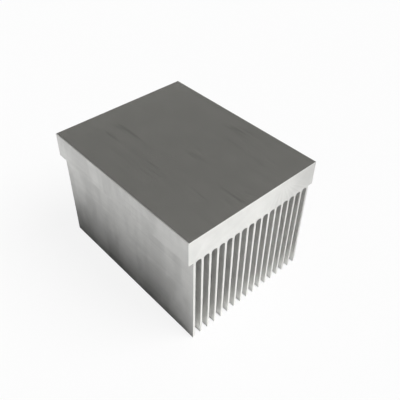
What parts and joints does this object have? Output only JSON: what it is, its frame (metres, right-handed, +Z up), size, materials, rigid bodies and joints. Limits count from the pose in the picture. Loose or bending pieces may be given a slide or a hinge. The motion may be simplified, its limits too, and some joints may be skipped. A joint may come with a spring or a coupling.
{
  "type": "extruded heat sink",
  "caption": "Extruded aluminium heat sink: a thick flat base plate that overhangs a row of tall, closely spaced straight fins, to cool a component clamped to the base.",
  "frame": {"origin": "centre of the footprint, on the plane of the fin tips that the part stands on", "axes": "+X across the fins, +Y along the extrusion, +Z up from the fin tips to the mounting face"},
  "size_m": [0.1, 0.125, 0.085],
  "materials": {
    "mill_aluminium": "mill finish, with sawn ends and a milled mounting face"
  },
  "bodies": {
    "root": {"heat_sink": "mill_aluminium"}
  },
  "joints": []
}
